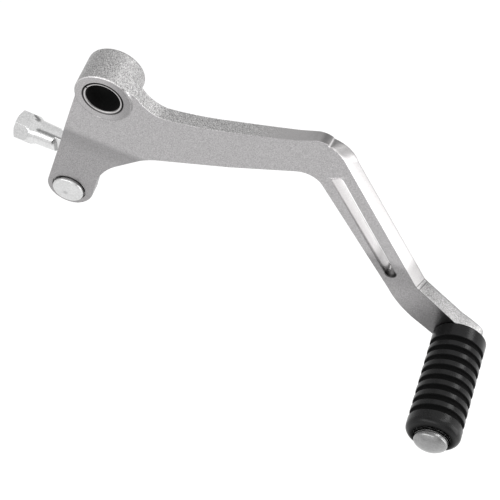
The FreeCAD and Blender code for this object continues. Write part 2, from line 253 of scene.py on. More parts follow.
# %% Helper for node groups
def new_group(name, inputs, outputs):
    """A shader node group with named sockets. Each input is (name, kind, start value)."""
    tree = bpy.data.node_groups.new(name, "ShaderNodeTree")
    for socket, kind, value in inputs:
        made = tree.interface.new_socket(socket, in_out="INPUT", socket_type=kind)
        made.default_value = value
    for socket, kind in outputs:
        tree.interface.new_socket(socket, in_out="OUTPUT", socket_type=kind)
    tree.nodes.new("NodeGroupInput")
    tree.nodes.new("NodeGroupOutput")
    print("effect", name)
    return tree


# %% Grain of a blasted surface
DIMPLE_DEPTH = 0.1 * MM


def blasted_grain():
    """Speckle and bump of metal blasted with fine beads. Size is the width of a dimple."""
    tree = new_group(
        "blasted_grain",
        [
            ("Size", "NodeSocketFloat", 0.4 * MM),
            ("Speckle", "NodeSocketFloat", 0.2),
            ("Relief", "NodeSocketFloat", 0.3),
            ("Color", "NodeSocketColor", (0.6, 0.6, 0.6, 1.0)),
        ],
        [("Color", "NodeSocketColor"), ("Normal", "NodeSocketVector")],
    )
    given = tree.nodes["Group Input"]
    result = tree.nodes["Group Output"]
    place = node(tree, "ShaderNodeTexCoord")
    scale = node(tree, "ShaderNodeMath", operation="DIVIDE")
    scale.inputs[0].default_value = 1.0
    join(tree, (given, "Size"), (scale, 1))
    fine = node(tree, "ShaderNodeTexNoise")
    fine.inputs["Detail"].default_value = 3.0
    fine.inputs["Roughness"].default_value = 0.6
    join(tree, (place, "Object"), (fine, "Vector"))
    join(tree, (scale, "Value"), (fine, "Scale"))
    cells = node(tree, "ShaderNodeTexVoronoi")
    join(tree, (place, "Object"), (cells, "Vector"))
    join(tree, (scale, "Value"), (cells, "Scale"))
    level = node(tree, "ShaderNodeMapRange")
    level.inputs["From Min"].default_value = 0.3
    level.inputs["From Max"].default_value = 0.7
    level.inputs["To Min"].default_value = -1.0
    level.inputs["To Max"].default_value = 1.0
    join(tree, (fine, "Fac"), (level, "Value"))
    amount = node(tree, "ShaderNodeMath", operation="MULTIPLY")
    join(tree, (level, "Result"), (amount, 0))
    join(tree, (given, "Speckle"), (amount, 1))
    gain = node(tree, "ShaderNodeMath", operation="ADD")
    gain.inputs[0].default_value = 1.0
    join(tree, (amount, "Value"), (gain, 1))
    tint = node(tree, "ShaderNodeVectorMath", operation="SCALE")
    join(tree, (given, "Color"), (tint, "Vector"))
    join(tree, (gain, "Value"), (tint, "Scale"))
    height = node(tree, "ShaderNodeMath", operation="ADD")
    join(tree, (fine, "Fac"), (height, 0))
    join(tree, (cells, "Distance"), (height, 1))
    bump = node(tree, "ShaderNodeBump")
    bump.inputs["Distance"].default_value = DIMPLE_DEPTH
    join(tree, (given, "Relief"), (bump, "Strength"))
    join(tree, (height, "Value"), (bump, "Height"))
    join(tree, (tint, "Vector"), (result, "Color"))
    join(tree, (bump, "Normal"), (result, "Normal"))
    return tree


GRAIN = blasted_grain()


# %% [markdown]
# A lathe leaves fine rings round the axis that a piece was turned about. All turned faces of the lever have
# their axis along Y, so the rings are a function of the distance from that axis. The group is given the
# axis's place and the width of a ring, and gives back the distance from the axis and a normal.

# %% Turning marks
RING_DEPTH = 0.05 * MM


def turning_marks():
    """Fine uneven rings about an axis along Y. Centre is the axis's place and Width the width of a ring."""
    tree = new_group(
        "turning_marks",
        [
            ("Centre", "NodeSocketVector", (0.0, 0.0, 0.0)),
            ("Width", "NodeSocketFloat", 0.4 * MM),
            ("Relief", "NodeSocketFloat", 0.3),
            ("Normal", "NodeSocketVector", (0.0, 0.0, 0.0)),
        ],
        [("Radius", "NodeSocketFloat"), ("Normal", "NodeSocketVector")],
    )
    given = tree.nodes["Group Input"]
    result = tree.nodes["Group Output"]
    place = node(tree, "ShaderNodeTexCoord")
    offset = node(tree, "ShaderNodeVectorMath", operation="SUBTRACT")
    join(tree, (place, "Object"), (offset, 0))
    join(tree, (given, "Centre"), (offset, 1))
    flat = node(tree, "ShaderNodeVectorMath", operation="MULTIPLY")
    flat.inputs[1].default_value = (1.0, 0.0, 1.0)
    join(tree, (offset, "Vector"), (flat, 0))
    radius = node(tree, "ShaderNodeVectorMath", operation="LENGTH")
    join(tree, (flat, "Vector"), (radius, 0))
    rings = node(tree, "ShaderNodeMath", operation="DIVIDE")
    join(tree, (radius, "Value"), (rings, 0))
    join(tree, (given, "Width"), (rings, 1))
    uneven = node(tree, "ShaderNodeTexNoise", noise_dimensions="1D")
    uneven.inputs["Scale"].default_value = 1.0
    uneven.inputs["Detail"].default_value = 2.0
    join(tree, (rings, "Value"), (uneven, "W"))
    bump = node(tree, "ShaderNodeBump")
    bump.inputs["Distance"].default_value = RING_DEPTH
    join(tree, (given, "Relief"), (bump, "Strength"))
    join(tree, (uneven, "Fac"), (bump, "Height"))
    join(tree, (given, "Normal"), (bump, "Normal"))
    join(tree, (radius, "Value"), (result, "Radius"))
    join(tree, (bump, "Normal"), (result, "Normal"))
    return tree


RINGS = turning_marks()


# %% [markdown]
# Some marks follow a straight line: the slot that an end mill cuts along its path, and the faint line where
# two passes of a cutter meet. This group gives a place's distance from such a line, and how far along it
# the place is, from 0 to 1. Axes leaves a direction out where its part is 0.

# %% Distance from a line
def line_distance():
    """How far a place is from a straight line between two points, and how far along the line it lies."""
    tree = new_group(
        "line_distance",
        [
            ("Start", "NodeSocketVector", (0.0, 0.0, 0.0)),
            ("End", "NodeSocketVector", (0.0, 0.0, 10.0 * MM)),
            ("Axes", "NodeSocketVector", (1.0, 1.0, 1.0)),
        ],
        [("Distance", "NodeSocketFloat"), ("Along", "NodeSocketFloat")],
    )
    given = tree.nodes["Group Input"]
    result = tree.nodes["Group Output"]
    place = node(tree, "ShaderNodeTexCoord")
    kept = []
    for source in ((place, "Object"), (given, "Start"), (given, "End")):
        along_axes = node(tree, "ShaderNodeVectorMath", operation="MULTIPLY")
        join(tree, source, (along_axes, 0))
        join(tree, (given, "Axes"), (along_axes, 1))
        kept.append(along_axes)
    here, start, end = kept
    run = node(tree, "ShaderNodeVectorMath", operation="SUBTRACT")
    join(tree, (end, "Vector"), (run, 0))
    join(tree, (start, "Vector"), (run, 1))
    away = node(tree, "ShaderNodeVectorMath", operation="SUBTRACT")
    join(tree, (here, "Vector"), (away, 0))
    join(tree, (start, "Vector"), (away, 1))
    part = node(tree, "ShaderNodeVectorMath", operation="DOT_PRODUCT")
    join(tree, (away, "Vector"), (part, 0))
    join(tree, (run, "Vector"), (part, 1))
    whole = node(tree, "ShaderNodeVectorMath", operation="DOT_PRODUCT")
    join(tree, (run, "Vector"), (whole, 0))
    join(tree, (run, "Vector"), (whole, 1))
    along = node(tree, "ShaderNodeMath", operation="DIVIDE", use_clamp=True)
    join(tree, (part, "Value"), (along, 0))
    join(tree, (whole, "Value"), (along, 1))
    reach = node(tree, "ShaderNodeVectorMath", operation="SCALE")
    join(tree, (run, "Vector"), (reach, "Vector"))
    join(tree, (along, "Value"), (reach, "Scale"))
    gap = node(tree, "ShaderNodeVectorMath", operation="DISTANCE")
    join(tree, (away, "Vector"), (gap, 0))
    join(tree, (reach, "Vector"), (gap, 1))
    join(tree, (gap, "Value"), (result, "Distance"))
    join(tree, (along, "Value"), (result, "Along"))
    return tree


LINE = line_distance()


# %% [markdown]
# Handled metal is never even. Soft patches, a few millimetres wide, are a touch darker or duller than the
# rest. The group gives one slow mask that finishes use for their colour and their roughness.

# %% Slow patches
def slow_patches():
    """Soft cloudy patches. Size is their width and Contrast how clearly they part."""
    tree = new_group(
        "slow_patches",
        [("Size", "NodeSocketFloat", 8.0 * MM), ("Contrast", "NodeSocketFloat", 0.5)],
        [("Mask", "NodeSocketFloat")],
    )
    given = tree.nodes["Group Input"]
    result = tree.nodes["Group Output"]
    place = node(tree, "ShaderNodeTexCoord")
    scale = node(tree, "ShaderNodeMath", operation="DIVIDE")
    scale.inputs[0].default_value = 1.0
    join(tree, (given, "Size"), (scale, 1))
    cloud = node(tree, "ShaderNodeTexNoise")
    cloud.inputs["Detail"].default_value = 2.0
    cloud.inputs["Roughness"].default_value = 0.5
    join(tree, (place, "Object"), (cloud, "Vector"))
    join(tree, (scale, "Value"), (cloud, "Scale"))
    centred = node(tree, "ShaderNodeMath", operation="SUBTRACT")
    centred.inputs[1].default_value = 0.5
    join(tree, (cloud, "Fac"), (centred, 0))
    spread = node(tree, "ShaderNodeMath", operation="MULTIPLY_ADD", use_clamp=True)
    spread.inputs[2].default_value = 0.5
    join(tree, (centred, "Value"), (spread, 0))
    join(tree, (given, "Contrast"), (spread, 1))
    join(tree, (spread, "Value"), (result, "Mask"))
    return tree


PATCHES = slow_patches()


# %% [markdown]
# ## Finishes
#
# Each finish is named for what it is on the lever. The metals differ in three things: how light they are,
# how wide they spread a reflection, and how coarse their grain is. Turned pieces get the lathe's rings on
# top.

# %% Helpers for finishes
def ranged(tree, source, low, high, start=0.0, stop=1.0, curve="LINEAR"):
    """A Map Range node that takes a value from start..stop to low..high."""
    made = node(tree, "ShaderNodeMapRange", interpolation_type=curve)
    made.inputs["From Min"].default_value = start
    made.inputs["From Max"].default_value = stop
    made.inputs["To Min"].default_value = low
    made.inputs["To Max"].default_value = high
    join(tree, source, (made, "Value"))
    return made


def new_paint(name, **constants):
    """An empty material, its shader, and any constants set on the shader's own sockets."""
    paint = bpy.data.materials.new(name)
    paint.use_nodes = True
    shader = paint.node_tree.nodes["Principled BSDF"]
    for socket, value in constants.items():
        shader.inputs[socket.replace("_", " ")].default_value = value
    print("finish", name)
    return paint, paint.node_tree, shader


def grained(tree, color, grain, speckle, relief):
    """The blasted grain with its values set."""
    effect = node(tree, "ShaderNodeGroup", node_tree=GRAIN)
    effect.inputs["Size"].default_value = grain
    effect.inputs["Speckle"].default_value = speckle
    effect.inputs["Relief"].default_value = relief
    effect.inputs["Color"].default_value = (*color, 1.0)
    return effect


def patched(tree, size, contrast):
    """The slow patches with their values set."""
    effect = node(tree, "ShaderNodeGroup", node_tree=PATCHES)
    effect.inputs["Size"].default_value = size
    effect.inputs["Contrast"].default_value = contrast
    return effect


def ringed(tree, centre, width, relief):
    """The turning marks with their values set."""
    effect = node(tree, "ShaderNodeGroup", node_tree=RINGS)
    effect.inputs["Centre"].default_value = centre
    effect.inputs["Width"].default_value = width
    effect.inputs["Relief"].default_value = relief
    return effect


def beside_line(tree, start, end, axes=(1.0, 1.0, 1.0)):
    """The distance from a line with its two ends set."""
    effect = node(tree, "ShaderNodeGroup", node_tree=LINE)
    effect.inputs["Start"].default_value = start
    effect.inputs["End"].default_value = end
    effect.inputs["Axes"].default_value = axes
    return effect


def where_both(tree, first, second):
    """A mask that is 1 where two masks are."""
    made = node(tree, "ShaderNodeMath", operation="MULTIPLY")
    join(tree, first, (made, 0))
    join(tree, second, (made, 1))
    return made, "Value"


def toned(tree, color, mask, level):
    """A colour that is multiplied by a level where a mask is 1."""
    gain = ranged(tree, mask, 1.0, level)
    made = node(tree, "ShaderNodeVectorMath", operation="SCALE")
    join(tree, color, (made, "Vector"))
    join(tree, (gain, "Result"), (made, "Scale"))
    return made, "Vector"


def mixed(tree, mask, first, second, kind="VECTOR"):
    """The first of two vectors where a mask is 0, and the second where it is 1."""
    made = node(tree, "ShaderNodeMix", data_type=kind)
    sockets = {"VECTOR": (4, 5, 1), "FLOAT": (2, 3, 0)}[kind]
    join(tree, mask, (made, 0))
    join(tree, first, (made, sockets[0]))
    join(tree, second, (made, sockets[1]))
    return made, sockets[2]


# %% [markdown]
# Many marks of the lever sit at a distance from the axis of a round piece, or from a line. So the finishes
# share three short helpers: one measures from an axis, and two turn a measure into a mask with a soft edge.

# %% Axes of the round pieces
BORE = (0.0, 0.0, 0.0)
STUD = (-0.0196, 0.0, -0.0586)
PEG = (0.13226, 0.0, -0.08686)


def from_axis(tree, centre):
    """The distance from an axis along Y, as (node, socket)."""
    return ringed(tree, centre, 1.0 * MM, 0.0), "Radius"


def inside(tree, value, low, high, curve="LINEAR"):
    """A mask that is 1 below one value and 0 above another, as (node, socket)."""
    return ranged(tree, value, 1.0, 0.0, low, high, curve), "Result"


def beyond(tree, value, low, high, curve="LINEAR"):
    """A mask that is 0 below one value and 1 above another, as (node, socket)."""
    return ranged(tree, value, 0.0, 1.0, low, high, curve), "Result"


print("axes of the bore, the stud and the peg:", BORE, STUD, PEG)


# %% [markdown]
# ### Blasted aluminium
#
# The arm is machined and then blasted with fine beads, which leaves an even satin with a fine sparkle. Its
# barrel and its edges are coarser than its two flat faces, because they are left as forged, but for the
# diagonal stretch, whose edge is milled smooth. The direction of a surface tells them apart: the flat faces
# look along Y, the edges look across it, and the rims lie between the two. The front rims that face up are
# lightened as a painted highlight, and the back rims are darkened as painted shade.

# %% Flat faces, edges and rims of the arm
SLOT_ENDS = (0.08255, 0.0, -0.01485), (0.1039, 0.0, -0.058)
SLOT_RADIUS = 2.2 * MM


def arm_regions(tree):
    """Masks and measures of the arm's regions, each as (node, socket)."""
    place = node(tree, "ShaderNodeTexCoord")
    at = node(tree, "ShaderNodeSeparateXYZ")
    join(tree, (place, "Object"), (at, "Vector"))
    facing = node(tree, "ShaderNodeSeparateXYZ")
    join(tree, (place, "Normal"), (facing, "Vector"))
    across = node(tree, "ShaderNodeMath", operation="ABSOLUTE")
    join(tree, (facing, "Y"), (across, 0))
    edge = inside(tree, (across, "Value"), 0.5, 0.8)
    front_rim_highlight = where_both(
        tree, beyond(tree, (facing, "Y"), -0.97, -0.85), inside(tree, (facing, "Y"), -0.3, -0.12)
    )
    back_rim_shade = where_both(
        tree, inside(tree, (facing, "Y"), 0.85, 0.97), beyond(tree, (facing, "Y"), 0.12, 0.3)
    )
    before_elbow = inside(tree, (at, "X"), 50.0 * MM, 65.0 * MM)
    near_peg = beyond(tree, (at, "X"), 113.0 * MM, 117.0 * MM)
    rough_skin = node(tree, "ShaderNodeMath", operation="MAXIMUM")
    join(tree, before_elbow, (rough_skin, 0))
    join(tree, near_peg, (rough_skin, 1))
    slot = beside_line(tree, *SLOT_ENDS, (1.0, 0.0, 1.0))
    return {
        "x": (at, "X"),
        "y": (at, "Y"),
        "z": (at, "Z"),
        "edge": edge,
        "rough_skin": (rough_skin, "Value"),
        "low_edge_shade": where_both(tree, near_peg, edge),
        # the front rims' painted highlight is kept to the rims that face up
        "front_rim_highlight": where_both(tree, front_rim_highlight, beyond(tree, (facing, "Z"), 0.1, 0.5)),
        "back_rim_shade": back_rim_shade,
        "from_bore": from_axis(tree, BORE),
        "from_peg": from_axis(tree, PEG),
        "in_slot": inside(tree, (slot, "Distance"), SLOT_RADIUS + 0.05 * MM, SLOT_RADIUS + 0.15 * MM),
        "along_slot": (slot, "Along"),
    }


# %% [markdown]
# A few places of the arm differ from the rest, and nearly all of them are painted light and shade. The ear
# below the joggle is darkened, with a darker band on the joggle, as painted shade. The front face darkens
# towards the rubber as painted shade, and so does the low edge near the peg. The hub's front face is darker
# towards its right. The upper front rims are lightened as a painted highlight, and the back rims and the far
# edge of the diagonal stretch are darkened as painted shade. The gap round the bush is painted dark as
# shade. The slot's wall is painted bright as a highlight, with painted shade along its mouth and at its low
# end. Fine lines cross the edge at both elbows, where two passes of a cutter meet: the first is painted
# bright as a highlight, and those at the second are painted dark as shade. They could be modelled, but they
# are shallower than the edge break, so each is a mask and a tone like the other places. Down the ear is
# measured along a slanted direction, because the ear hangs a little to the left.

# %% Darker and lighter places of the arm
DOWN_THE_EAR = (-0.2419, -0.9703)
BUSH_GAP_RADIUS = 7.6 * MM
SLOT_MOUTH_DRIFT = -0.9 * MM
FIRST_ELBOW_LINE = (0.0787, 0.0013, 0.0021), (0.07903, 0.0067, 0.00075)
SECOND_ELBOW_LINES = (
    ((0.11373, 0.0013, -0.06216), (0.11572, 0.0067, -0.06295)),
    ((0.11495, 0.0013, -0.0632), (0.11675, 0.0067, -0.0641)),
)


def arm_tones(tree, region):
    """The arm's tones, each a mask and the level that it multiplies the colour by; most are painted light
    and shade.
    """
    sideways = node(tree, "ShaderNodeMath", operation="MULTIPLY")
    sideways.inputs[1].default_value = DOWN_THE_EAR[0]
    join(tree, region["x"], (sideways, 0))
    down = node(tree, "ShaderNodeMath", operation="MULTIPLY_ADD")
    down.inputs[1].default_value = DOWN_THE_EAR[1]
    join(tree, region["z"], (down, 0))
    join(tree, (sideways, "Value"), (down, 2))
    below_joggle = beyond(tree, (down, "Value"), 23.0 * MM, 27.5 * MM, "SMOOTHSTEP")
    in_joggle = inside(tree, (down, "Value"), 29.0 * MM, 42.0 * MM, "SMOOTHSTEP")
    front = inside(tree, region["y"], 1.35 * MM, 1.6 * MM)
    near_peg = inside(tree, region["from_peg"], 12.0 * MM, 32.0 * MM, "SMOOTHSTEP")
    hub_face = inside(tree, region["y"], 0.05 * MM, 0.2 * MM)
    hub_right = beyond(tree, region["x"], 0.0, 9.0 * MM, "SMOOTHSTEP")
    far_line = where_both(tree, region["edge"], beyond(tree, region["y"], 6.15 * MM, 6.3 * MM))
    diagonal = beyond(tree, region["x"], 84.0 * MM, 90.0 * MM)
    bush_gap_shade = inside(tree, region["from_bore"], BUSH_GAP_RADIUS - 0.08 * MM, BUSH_GAP_RADIUS)
    nearer = node(tree, "ShaderNodeMath", operation="MULTIPLY_ADD")
    nearer.inputs[1].default_value = SLOT_MOUTH_DRIFT
    join(tree, region["along_slot"], (nearer, 0))
    join(tree, region["y"], (nearer, 2))
    slot_mouth_shade = inside(tree, (nearer, "Value"), 1.3 * MM, 2.1 * MM)
    slot_foot_shade = beyond(tree, region["along_slot"], 0.985, 1.0)
    tones = [
        # painted shade: the ear below the joggle, and a darker band on the joggle
        (below_joggle, 0.79),
        (where_both(tree, below_joggle, in_joggle), 0.82),
        # painted shade on the front face towards the rubber
        (where_both(tree, front, near_peg), 0.42),
        # painted shade on the edge near the peg
        (region["low_edge_shade"], 0.74),
        # the hub's front face is darker towards its right
        (where_both(tree, hub_face, hub_right), 0.68),
        # painted highlight on the upper front rims, and painted shade on the back rims
        (region["front_rim_highlight"], 1.6),
        (region["back_rim_shade"], 0.62),
        # painted shade along the far edge of the diagonal stretch
        (where_both(tree, far_line, diagonal), 0.72),
        # painted shade in the gap round the bush
        (bush_gap_shade, 0.12),
        # painted highlight on the slot's wall, with painted shade along its mouth and at its low end
        (region["in_slot"], 1.95),
        (where_both(tree, region["in_slot"], slot_mouth_shade), 0.36),
        (where_both(tree, region["in_slot"], slot_foot_shade), 0.35),
    ]
    # painted highlight on the step across the first elbow, and painted shade in the creases at the second
    elbow_highlight_line = beside_line(tree, *FIRST_ELBOW_LINE)
    tones.append((inside(tree, (elbow_highlight_line, "Distance"), 0.25 * MM, 0.45 * MM), 2.0))
    for ends in SECOND_ELBOW_LINES:
        elbow_crease_shade = beside_line(tree, *ends)
        tones.append((inside(tree, (elbow_crease_shade, "Distance"), 0.1 * MM, 0.3 * MM), 0.4))
    print("tones of the arm:", len(tones))
    return tones


# %% Finish of the arm
def arm_finish():
    """The arm's satin, with each region's own grain and gloss, and tones that are mostly painted light and
    shade.
    """
    paint, tree, shader = new_paint("blasted_aluminium", Metallic=1.0)
    region = arm_regions(tree)
    flat = grained(tree, (0.393, 0.384, 0.388), 0.4 * MM, 0.3, 0.22)
    forged = grained(tree, (0.43, 0.425, 0.425), 0.36 * MM, 0.7, 0.5)
    milled = grained(tree, (0.425, 0.415, 0.416), 0.3 * MM, 0.12, 0.06)
    side_color = mixed(tree, region["rough_skin"], (milled, "Color"), (forged, "Color"))
    side_normal = mixed(tree, region["rough_skin"], (milled, "Normal"), (forged, "Normal"))
    color = mixed(tree, region["edge"], (flat, "Color"), side_color)
    for mask, level in arm_tones(tree, region):
        color = toned(tree, color, mask, level)
    cloud = patched(tree, 9.0 * MM, 1.2)
    satin = (ranged(tree, (cloud, "Mask"), 0.25, 0.33), "Result")
    coarse = (ranged(tree, region["x"], 0.52, 0.34, 30.0 * MM, 60.0 * MM), "Result")
    roughness = mixed(tree, region["edge"], satin, coarse, "FLOAT")
    join(tree, color, (shader, "Base Color"))
    join(tree, mixed(tree, region["edge"], (flat, "Normal"), side_normal), (shader, "Normal"))
    join(tree, roughness, (shader, "Roughness"))
    return paint


# %% [markdown]
# ### Plated and turned metal
#
# The rod end, the stud and the cap are bright zinc plate, which is smoother than the arm and slightly
# mottled. The turned ones show rings about their axis. Two small marks are painted shade in masks: the
# shade of a round dent in the rivet's head, which is not modelled, and the shade of the step where the rod
# end's round neck is cut flat. A spot is given by an axis and two radii, and a band by a stretch of a line,
# below a height.

# %% Finish of plated pieces
def plated(name, color, roughness, centre=None, width=0.4 * MM, relief=0.25, spots=(), bands=()):
    """Plated metal, with round spots about an axis along Y and bands across a line, each with its level."""
    paint, tree, shader = new_paint(name, Metallic=1.0)
    fine = grained(tree, color, 0.7 * MM, 0.12, 0.1)
    cloud = patched(tree, 4.0 * MM, 1.4)
    gloss = ranged(tree, (cloud, "Mask"), roughness - 0.04, roughness + 0.05)
    shade = toned(tree, (fine, "Color"), beyond(tree, (cloud, "Mask"), 0.0, 1.0), 0.88)
    for place, inner, outer, level in spots:
        shade = toned(tree, shade, inside(tree, from_axis(tree, place), inner, outer, "SMOOTHSTEP"), level)
    height = node(tree, "ShaderNodeSeparateXYZ")
    join(tree, (node(tree, "ShaderNodeTexCoord"), "Object"), (height, "Vector"))
    for ends, first, last, top, level in bands:
        line = beside_line(tree, *ends)
        after = beyond(tree, (line, "Along"), first - 0.004, first + 0.004)
        before = inside(tree, (line, "Along"), last - 0.004, last + 0.004)
        under = inside(tree, (height, "Z"), top - 0.2 * MM, top + 0.2 * MM)
        shade = toned(tree, shade, where_both(tree, where_both(tree, after, before), under), level)
    join(tree, shade, (shader, "Base Color"))
    join(tree, (gloss, "Result"), (shader, "Roughness"))
    normal = fine, "Normal"
    if centre is not None:
        rings = ringed(tree, centre, width, relief)
        join(tree, normal, (rings, "Normal"))
        normal = rings, "Normal"
    join(tree, normal, (shader, "Normal"))
    return paint


# %% [markdown]
# ### Moulded rubber
#
# The peg's rubber is black with a soft sheen on the ribs, where a shoe polishes it. The grooves between the
# ribs and the mouth round the peg's head are duller, and their colour is darkened nearly to black as painted
# shade. The distance from the peg's axis tells them apart.

# %% Finish of the peg's rubber
RIB_RADIUS = 10.0
RUBBER_RADIUS = RIB_RADIUS * MM


def ribbed_rubber():
    """Black rubber with polished ribs, and duller grooves and mouth darkened with painted shade."""
    paint, tree, shader = new_paint("ribbed_rubber", Specular_IOR_Level=0.22)
    skin = grained(tree, (0.007, 0.007, 0.0072), 0.5 * MM, 0.35, 0.12)
    radius = from_axis(tree, PEG)
    along = node(tree, "ShaderNodeSeparateXYZ")
    join(tree, (node(tree, "ShaderNodeTexCoord"), "Object"), (along, "Vector"))
    rib = beyond(tree, radius, RUBBER_RADIUS - 0.32 * MM, RUBBER_RADIUS - 0.12 * MM)
    front_end = inside(tree, (along, "Y"), -38.6 * MM, -38.0 * MM)
    polished_and_lit = node(tree, "ShaderNodeMath", operation="MAXIMUM")
    join(tree, rib, (polished_and_lit, 0))
    join(tree, front_end, (polished_and_lit, 1))
    # painted shade: the grooves and the mouth round the head are darkened nearly to black
    mouth_shade = ranged(tree, radius, 0.85, 0.0, 7.0 * MM, 9.2 * MM, "SMOOTHSTEP")
    polish_and_light = node(tree, "ShaderNodeMath", operation="SUBTRACT")
    join(tree, (polished_and_lit, "Value"), (polish_and_light, 0))
    join(tree, where_both(tree, front_end, (mouth_shade, "Result")), (polish_and_light, 1))
    shade = node(tree, "ShaderNodeVectorMath", operation="SCALE")
    join(tree, (skin, "Color"), (shade, 0))
    join(tree, (ranged(tree, (polish_and_light, "Value"), 0.04, 1.0), "Result"), (shade, "Scale"))
    join(tree, (shade, "Vector"), (shader, "Base Color"))
    join(tree, (ranged(tree, (polish_and_light, "Value"), 1.0, 0.27), "Result"), (shader, "Roughness"))
    join(tree, (skin, "Normal"), (shader, "Normal"))
    return paint


# %% Finish of plain rubber and plastic
def moulded(name, color, roughness, grain, relief, specular=0.4):
    """A moulded skin with a fine grain and slightly uneven gloss."""
    paint, tree, shader = new_paint(name, Specular_IOR_Level=specular)
    skin = grained(tree, color, grain, 0.25, relief)
    cloud = patched(tree, 3.0 * MM, 1.0)
    gloss = ranged(tree, (cloud, "Mask"), roughness - 0.06, roughness + 0.06)
    join(tree, (skin, "Color"), (shader, "Base Color"))
    join(tree, (skin, "Normal"), (shader, "Normal"))
    join(tree, (gloss, "Result"), (shader, "Roughness"))
    return paint


# %% [markdown]
# ### The lever's finishes
#
# Every piece of the lever now gets its finish by name. The bush is dark, as painted shade round the outer
# edge of its end, with a bright ring on its end between two radii and a painted shade line at its bore. The
# peg's dome has a painted reflection, darker where it mirrors the front. The painted shade of the stud's
# dent and the rod end's step sits where the photograph shows them.

# %% Make the finishes
# painted shade round the outer edge of the bush's end and at its bore, with a bright ring between
BUSH_RING_AND_SHADE = [(BORE, 6.72 * MM, 6.85 * MM, 3.5), (BORE, 6.32 * MM, 6.42 * MM, 0.4)]
# painted shade of a dent in the rivet's head, which is not modelled
RIVET_DENT_SHADE = [((-0.02056, 0.0, -0.0599), 0.2 * MM, 1.5 * MM, 0.7)]
DOME_SHADE = [((0.13187, 0.0, -0.07958), 0.4 * MM, 3.2 * MM, 0.72)]
ROD_AXIS = (-0.0196, 0.02185, -0.0586), (-0.04855, 0.02696, -0.0586)
NECK_RIDGE = -55.6 * MM
# painted shade along the step where the rod end's round neck is cut flat
NECK_STEP_SHADE = [(ROD_AXIS, 0.405, 0.435, NECK_RIDGE, 0.5)]

finishes = {
    "arm": arm_finish(),
    "bush": plated("bush_steel", (0.15, 0.146, 0.146), 0.3, BORE, 0.3 * MM, 0.2, BUSH_RING_AND_SHADE),
    "liner": moulded("bush_lining", (0.004, 0.004, 0.004), 0.75, 0.3 * MM, 0.1, 0.15),
    "stud": plated("stud_plate", (0.66, 0.66, 0.66), 0.3, STUD, 0.5 * MM, 0.2, RIVET_DENT_SHADE),
    "rod_end": plated("rod_end_plate", (0.7, 0.7, 0.7), 0.16, bands=NECK_STEP_SHADE),
    "cap": plated("cap_plate", (0.74, 0.74, 0.74), 0.24, STUD, 0.4 * MM, 0.2),
    "peg": plated("peg_metal", (0.3, 0.3, 0.3), 0.26, PEG, 0.5 * MM, 0.3, DOME_SHADE),
    "boot": moulded("boot_rubber", (0.014, 0.014, 0.014), 0.55, 0.4 * MM, 0.15),
    "rubber": ribbed_rubber(),
    "seat": moulded("seat_plastic", (0.7, 0.69, 0.64), 0.42, 0.6 * MM, 0.05),
}
print("finishes:", ", ".join(finishes))


# %% [markdown]
# ## Softened edges
#
# No edge of a real part is sharp. A forging's edges are broken with a fine chamfer that catches the light
# as a thin bright line. The edges could be picked and bevelled by hand, but a modifier with a limit by angle
# finds them all. A copy of each construction mesh is merged, its flat faces are joined back into single
# faces, and a bevel runs along every edge that turns by more than a set angle. The shading then follows the
# large faces, so a flat face stays flat up to its bevel.

# %% Helpers for shaping
def alone(piece):
    """Selects one object only and makes it active."""
    bpy.ops.object.select_all(action="DESELECT")
    piece.select_set(True)
    bpy.context.view_layer.objects.active = piece


SHARP_ANGLE = 28.0


def smoothed(piece):
    """Shades a piece smooth up to its sharp edges, with flat faces kept flat."""
    alone(piece)
    bpy.ops.object.shade_smooth_by_angle(angle=math.radians(SHARP_ANGLE))
    even = piece.modifiers.new("flat_faces", "WEIGHTED_NORMAL")
    even.keep_sharp = True
    bpy.ops.object.modifier_apply(modifier=even.name)
    print(piece.name, len(piece.data.polygons), "faces")
    return piece


def bevelled(piece, width, segments=2, angle=35.0):
    """Bevels the sharp edges of a piece and smooths it."""
    alone(piece)
    bevel = piece.modifiers.new("edge_break", "BEVEL")
    bevel.width = width
    bevel.segments = segments
    bevel.limit_method = "ANGLE"
    bevel.angle_limit = math.radians(angle)
    bevel.use_clamp_overlap = False
    bevel.miter_outer = "MITER_SHARP"
    bpy.ops.object.modifier_apply(modifier=bevel.name)
    return smoothed(piece)


# %% Helpers for copies of the construction
SAME_POINT = 0.002 * MM
FLAT_ANGLE = 0.2


def merged(source, name):
    """A copy of a construction node with its points merged and its flat faces whole."""
    piece = nodes[source].copy()
    piece.data = nodes[source].data.copy()
    piece.name = name
    piece.data.name = name
    for key in list(piece.keys()):
        del piece[key]
    piece.parent = None
    scene.collection.objects.link(piece)
    alone(piece)
    bpy.ops.object.mode_set(mode="EDIT")
    bpy.ops.mesh.select_all(action="SELECT")
    bpy.ops.mesh.remove_doubles(threshold=SAME_POINT)
    bpy.ops.mesh.dissolve_limited(angle_limit=math.radians(FLAT_ANGLE))
    bpy.ops.object.mode_set(mode="OBJECT")
    return piece


def softened(source, name, width, segments=2, angle=35.0):
    """A merged copy of a construction node with its sharp edges bevelled."""
    return bevelled(merged(source, name), width, segments, angle)


# %% Helpers for picking and dressing
def pick(piece, test):
    """Selects the vertices of a piece that pass a test of their place, and says how many."""
    bpy.ops.object.mode_set(mode="OBJECT")
    for vertex in piece.data.vertices:
        vertex.select = test(vertex.co)
    count = sum(vertex.select for vertex in piece.data.vertices)
    bpy.ops.object.mode_set(mode="EDIT")
    bpy.ops.mesh.select_mode(type="VERT")
    return count


def dress(piece, finish, body, source):
    """Gives a piece its finish and its body, in the place of a construction node."""
    piece.data.materials.clear()
    piece.data.materials.append(finishes[finish])
    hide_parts(source)
    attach(piece, body)


# %% [markdown]
# ## Turning a profile
#
# The bush, its lining, the rubber sleeve and the boot are round. Each is drawn as half of its section and
# spun about its axis, as a potter's template shapes a bowl. The section starts as one corner of a small
# plane and grows by extruding that corner from point to point.

